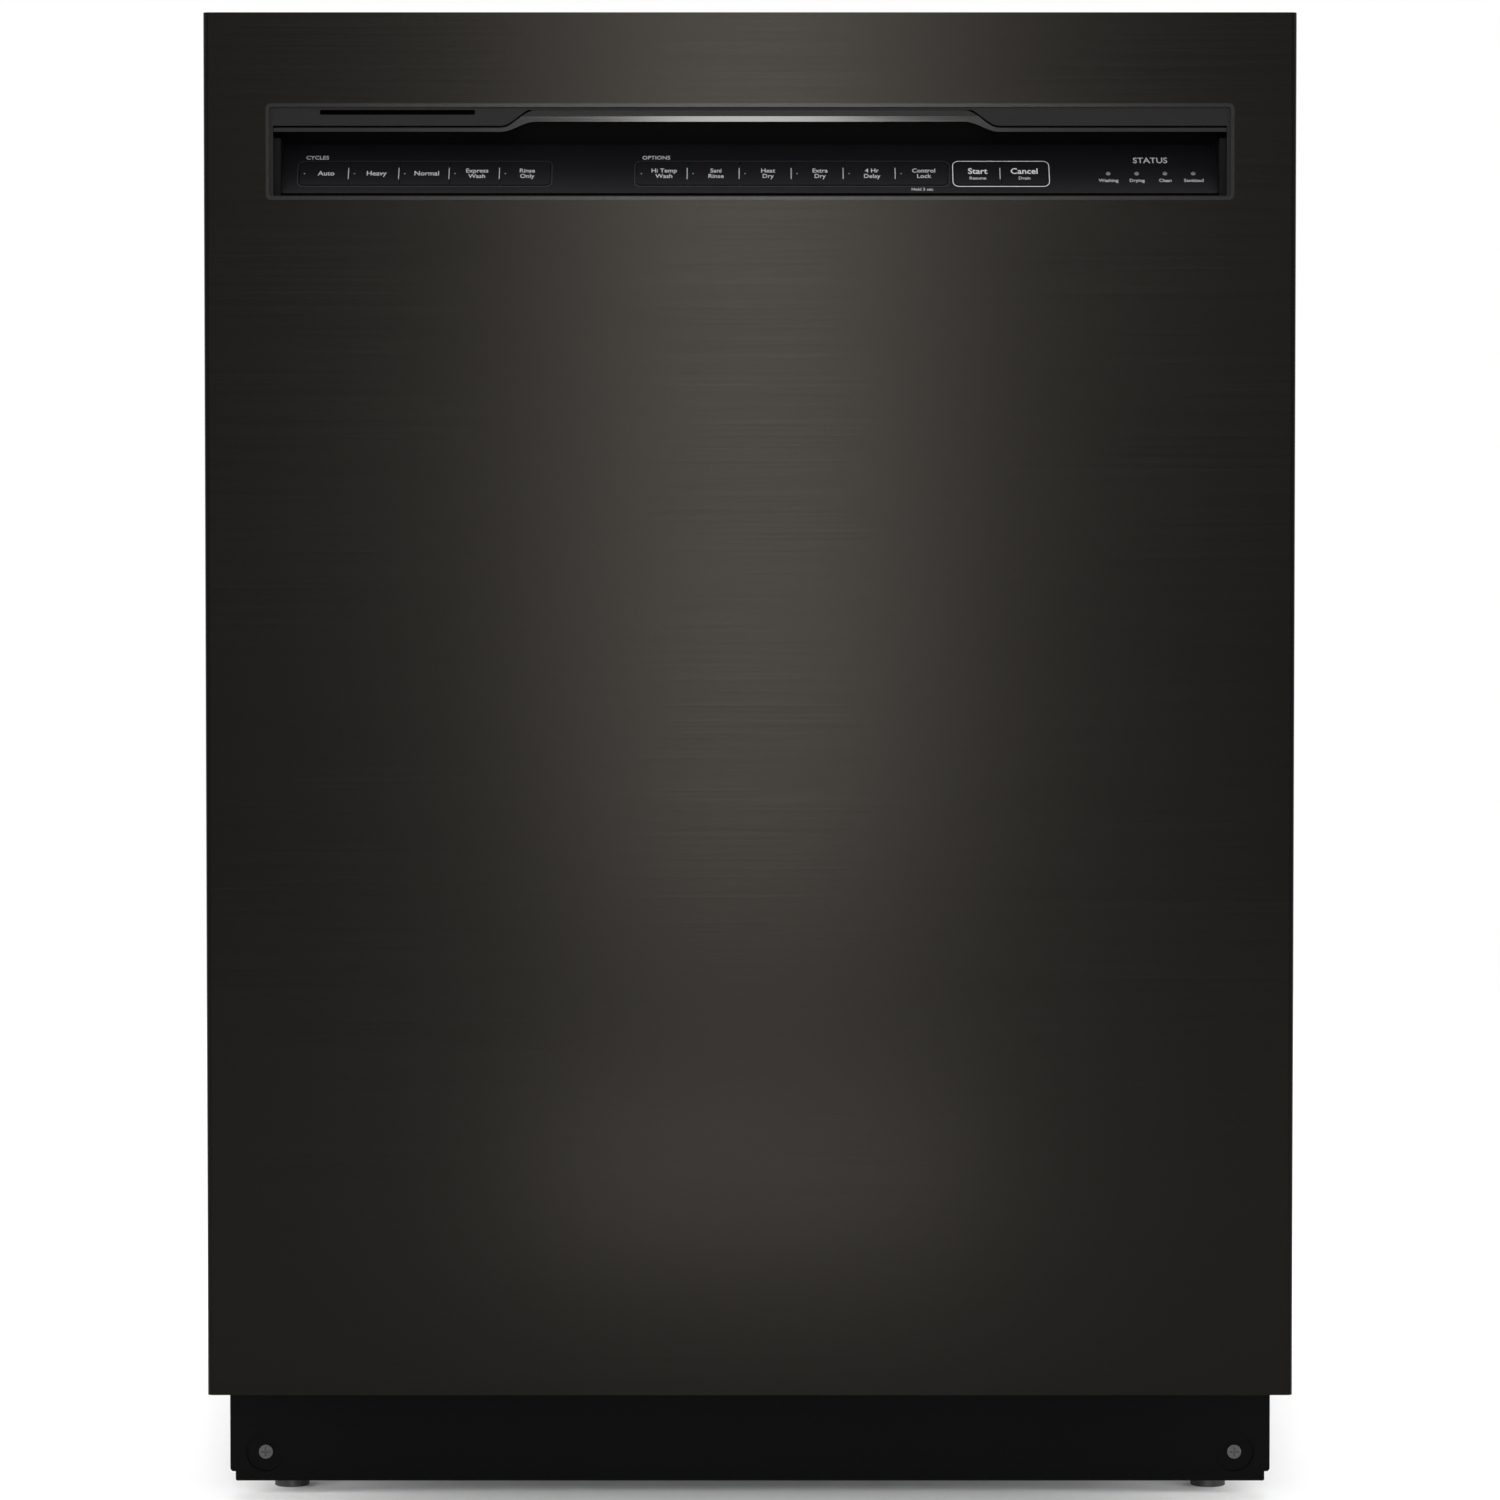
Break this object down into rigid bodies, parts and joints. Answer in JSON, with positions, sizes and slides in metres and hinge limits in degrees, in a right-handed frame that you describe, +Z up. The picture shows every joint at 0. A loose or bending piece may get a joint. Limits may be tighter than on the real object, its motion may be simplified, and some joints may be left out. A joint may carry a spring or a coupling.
{
  "type": "built-in dishwasher",
  "caption": "Built-in dishwasher with a pocket-handle console, drop-down door, wire racks, spray arms and a levelling base",
  "frame": {"origin": "on the floor, at the centre of the width and depth", "axes": "+Z up, the door faces -Y, +X to the right seen from the front"},
  "size_m": [0.606, 0.622, 0.84],
  "materials": {
    "door_steel": "near-black warm stainless with fine horizontal brushing",
    "liner_steel": "satin stainless sheet",
    "console_plastic": "black moulded plastic",
    "lip_metal": "dark polished trim",
    "fascia_plastic": "black satin plastic",
    "key_plastic": "black satin plastic with pale legends",
    "board_epoxy": "green circuit board",
    "dispenser_plastic": "light grey plastic",
    "cap_plastic": "blue plastic",
    "latch_plastic": "dark grey plastic",
    "plain_steel": "zinc plated steel",
    "galvanised": "galvanised sheet steel",
    "spring_steel": "drawn spring wire",
    "toe_metal": "black satin paint",
    "seal_rubber": "black seal rubber",
    "blanket_felt": "bitumen-faced fibre blanket",
    "leg_metal": "dark plated threaded stud with a moulded foot",
    "sump_plastic": "grey glass-filled plastic",
    "filter_mesh": "fine mesh cylinder with a plastic handle",
    "motor_metal": "cast motor body",
    "pump_plastic": "pale moulded plastic",
    "spray_plastic": "grey plastic",
    "heater_metal": "heat-stained sheathed element",
    "rack_coating": "grey-blue nylon coated wire",
    "wheel_plastic": "grey-blue plastic"
  },
  "bodies": {
    "cabinet": {"tub": "liner_steel", "tub_gasket": "seal_rubber", "sound_blanket": "blanket_felt", "side_rails": "galvanised", "cross_braces": "galvanised", "toe_panel": "toe_metal", "toe_screws": "plain_steel", "mounting_brackets": "plain_steel", "door_strike": "plain_steel", "door_springs": "spring_steel", "sump": "sump_plastic", "filter_plate": "sump_plastic", "wash_motor": "motor_metal", "drain_pump": "pump_plastic", "inlet_valve": "pump_plastic", "junction_box": "galvanised", "wash_pipe": "spray_plastic", "heater_element": "heater_metal"},
    "door": {"door_panel": "door_steel", "inner_door": "liner_steel", "console_frame": "console_plastic", "handle_lip": "lip_metal", "control_fascia": "fascia_plastic", "control_board": "board_epoxy", "dispenser_body": "dispenser_plastic", "latch_housing": "latch_plastic", "hinge_arms": "plain_steel", "door_screws": "plain_steel"},
    "lid": {"detergent_lid": "dispenser_plastic"},
    "basket": {"silverware_basket": "wheel_plastic"},
    "float": {"float_cap": "spray_plastic"},
    "filter": {"filter_cup": "filter_mesh"},
    "cap": {"rinse_cap": "cap_plastic"},
    "pawl": {"latch_pawl": "plain_steel"},
    "lower_rack_body": {"lower_rack": "rack_coating"},
    "lower_arm": {"lower_spray_arm": "spray_plastic"},
    "middle_arm": {"middle_spray_arm": "spray_plastic"},
    "top_arm": {"top_spray_arm": "spray_plastic"},
    "impeller": {"pump_impeller": "pump_plastic"},
    "tines": {"lower_tines": "rack_coating"},
    "upper_rack_body": {"upper_rack": "rack_coating"},
    "front_wheels": {"rack_wheels_front": "wheel_plastic"},
    "rear_wheels": {"rack_wheels_rear": "wheel_plastic"},
    "links": {"spring_links": "plain_steel"},
    "left_leg": {"leg_front_left": "leg_metal"},
    "right_leg": {"leg_front_right": "leg_metal"},
    "back_legs": {"rear_legs": "leg_metal"},
    "body_auto": {"key_auto": "key_plastic"},
    "body_heavy": {"key_heavy": "key_plastic"},
    "body_normal": {"key_normal": "key_plastic"},
    "body_express": {"key_express": "key_plastic"},
    "body_rinse": {"key_rinse": "key_plastic"},
    "body_hi_temp": {"key_hi_temp": "key_plastic"},
    "body_sani_rinse": {"key_sani_rinse": "key_plastic"},
    "body_heat_dry": {"key_heat_dry": "key_plastic"},
    "body_extra_dry": {"key_extra_dry": "key_plastic"},
    "body_delay": {"key_delay": "key_plastic"},
    "body_lock": {"key_lock": "key_plastic"},
    "body_start": {"key_start": "key_plastic"},
    "body_cancel": {"key_cancel": "key_plastic"}
  },
  "joints": [
    {"name": "door_hinge", "type": "hinge", "parent": "cabinet", "child": "door", "pos_m": [0, -0.275, 0.115], "axis": [1, 0, 0], "range_deg": [0, 90], "deforming": ["door_springs"]},
    {"name": "detergent_lid_slide", "type": "slide", "parent": "door", "child": "lid", "axis": [0, 0, 1], "range_m": [0, 0.068]},
    {"name": "basket_lift", "type": "slide", "parent": "lower_rack_body", "child": "basket", "axis": [0, 0, 1], "range_m": [0, 0.06]},
    {"name": "float_lift", "type": "slide", "parent": "cabinet", "child": "float", "axis": [0, 0, 1], "range_m": [0, 0.008]},
    {"name": "filter_twist", "type": "hinge", "parent": "cabinet", "child": "filter", "pos_m": [0.055, -0.005, 0.154], "axis": [0, 0, 1], "range_deg": [0, 45]},
    {"name": "cap_turn", "type": "hinge", "parent": "door", "child": "cap", "pos_m": [0.044, -0.2469, 0.376], "axis": [0, 1, 0], "range_deg": [0, 90]},
    {"name": "latch_pivot", "type": "hinge", "parent": "door", "child": "pawl", "pos_m": [0, -0.2892, 0.826], "axis": [-1, 0, 0], "range_deg": [0, 8]},
    {"name": "lower_rack_roll", "type": "slide", "parent": "cabinet", "child": "lower_rack_body", "axis": [0, -1, 0], "range_m": [0, 0.012]},
    {"name": "lower_arm_spin", "type": "hinge", "parent": "cabinet", "child": "lower_arm", "pos_m": [0, -0.005, 0.183], "axis": [0, 0, 1], "continuous": true},
    {"name": "middle_arm_spin", "type": "hinge", "parent": "upper_rack_body", "child": "middle_arm", "pos_m": [0, -0.005, 0.451], "axis": [0, 0, 1], "continuous": true},
    {"name": "top_arm_spin", "type": "hinge", "parent": "cabinet", "child": "top_arm", "pos_m": [0, -0.005, 0.79], "axis": [0, 0, 1], "continuous": true},
    {"name": "impeller_spin", "type": "hinge", "parent": "cabinet", "child": "impeller", "pos_m": [-0.129, -0.005, 0.111], "axis": [1, 0, 0], "continuous": true},
    {"name": "tines_fold", "type": "hinge", "parent": "lower_rack_body", "child": "tines", "pos_m": [0, 0.06, 0.2104], "axis": [-1, 0, 0], "range_deg": [0, 88]},
    {"name": "upper_rack_slide", "type": "slide", "parent": "cabinet", "child": "upper_rack_body", "axis": [0, -1, 0], "range_m": [0, 0.012]},
    {"name": "front_wheel_roll", "type": "hinge", "parent": "lower_rack_body", "child": "front_wheels", "pos_m": [0, -0.168, 0.17], "axis": [1, 0, 0], "continuous": true},
    {"name": "rear_wheel_roll", "type": "hinge", "parent": "lower_rack_body", "child": "rear_wheels", "pos_m": [0, 0.182, 0.17], "axis": [1, 0, 0], "continuous": true},
    {"name": "spring_stretch", "type": "slide", "parent": "cabinet", "child": "links", "axis": [0, -1, 0], "range_m": [0, 0.0346]},
    {"name": "leg_left_screw", "type": "slide", "parent": "cabinet", "child": "left_leg", "axis": [0, 0, -1], "range_m": [0, 0.02]},
    {"name": "leg_right_screw", "type": "slide", "parent": "cabinet", "child": "right_leg", "axis": [0, 0, -1], "range_m": [0, 0.02]},
    {"name": "leg_rear_screw", "type": "slide", "parent": "cabinet", "child": "back_legs", "axis": [0, 0, -1], "range_m": [0, 0.02]},
    {"name": "press_auto", "type": "slide", "parent": "door", "child": "body_auto", "axis": [0, 0.829, -0.5592], "range_m": [0, 0.0006], "stiffness_N_per_m": 1500, "springref_m": -0.0004},
    {"name": "press_heavy", "type": "slide", "parent": "door", "child": "body_heavy", "axis": [0, 0.829, -0.5592], "range_m": [0, 0.0006], "stiffness_N_per_m": 1500, "springref_m": -0.0004},
    {"name": "press_normal", "type": "slide", "parent": "door", "child": "body_normal", "axis": [0, 0.829, -0.5592], "range_m": [0, 0.0006], "stiffness_N_per_m": 1500, "springref_m": -0.0004},
    {"name": "press_express", "type": "slide", "parent": "door", "child": "body_express", "axis": [0, 0.829, -0.5592], "range_m": [0, 0.0006], "stiffness_N_per_m": 1500, "springref_m": -0.0004},
    {"name": "press_rinse", "type": "slide", "parent": "door", "child": "body_rinse", "axis": [0, 0.829, -0.5592], "range_m": [0, 0.0006], "stiffness_N_per_m": 1500, "springref_m": -0.0004},
    {"name": "press_hi_temp", "type": "slide", "parent": "door", "child": "body_hi_temp", "axis": [0, 0.829, -0.5592], "range_m": [0, 0.0006], "stiffness_N_per_m": 1500, "springref_m": -0.0004},
    {"name": "press_sani_rinse", "type": "slide", "parent": "door", "child": "body_sani_rinse", "axis": [0, 0.829, -0.5592], "range_m": [0, 0.0006], "stiffness_N_per_m": 1500, "springref_m": -0.0004},
    {"name": "press_heat_dry", "type": "slide", "parent": "door", "child": "body_heat_dry", "axis": [0, 0.829, -0.5592], "range_m": [0, 0.0006], "stiffness_N_per_m": 1500, "springref_m": -0.0004},
    {"name": "press_extra_dry", "type": "slide", "parent": "door", "child": "body_extra_dry", "axis": [0, 0.829, -0.5592], "range_m": [0, 0.0006], "stiffness_N_per_m": 1500, "springref_m": -0.0004},
    {"name": "press_delay", "type": "slide", "parent": "door", "child": "body_delay", "axis": [0, 0.829, -0.5592], "range_m": [0, 0.0006], "stiffness_N_per_m": 1500, "springref_m": -0.0004},
    {"name": "press_lock", "type": "slide", "parent": "door", "child": "body_lock", "axis": [0, 0.829, -0.5592], "range_m": [0, 0.0006], "stiffness_N_per_m": 1500, "springref_m": -0.0004},
    {"name": "press_start", "type": "slide", "parent": "door", "child": "body_start", "axis": [0, 0.829, -0.5592], "range_m": [0, 0.0006], "stiffness_N_per_m": 1500, "springref_m": -0.0004},
    {"name": "press_cancel", "type": "slide", "parent": "door", "child": "body_cancel", "axis": [0, 0.829, -0.5592], "range_m": [0, 0.0006], "stiffness_N_per_m": 1500, "springref_m": -0.0004}
  ],
  "couplings": [
    {"joint": "spring_stretch", "follows": "door_hinge", "m_per_rad": 0.022},
    {"joint": "front_wheel_roll", "follows": "lower_rack_roll", "rad_per_m": 56.497},
    {"joint": "rear_wheel_roll", "follows": "lower_rack_roll", "rad_per_m": 56.497}
  ]
}
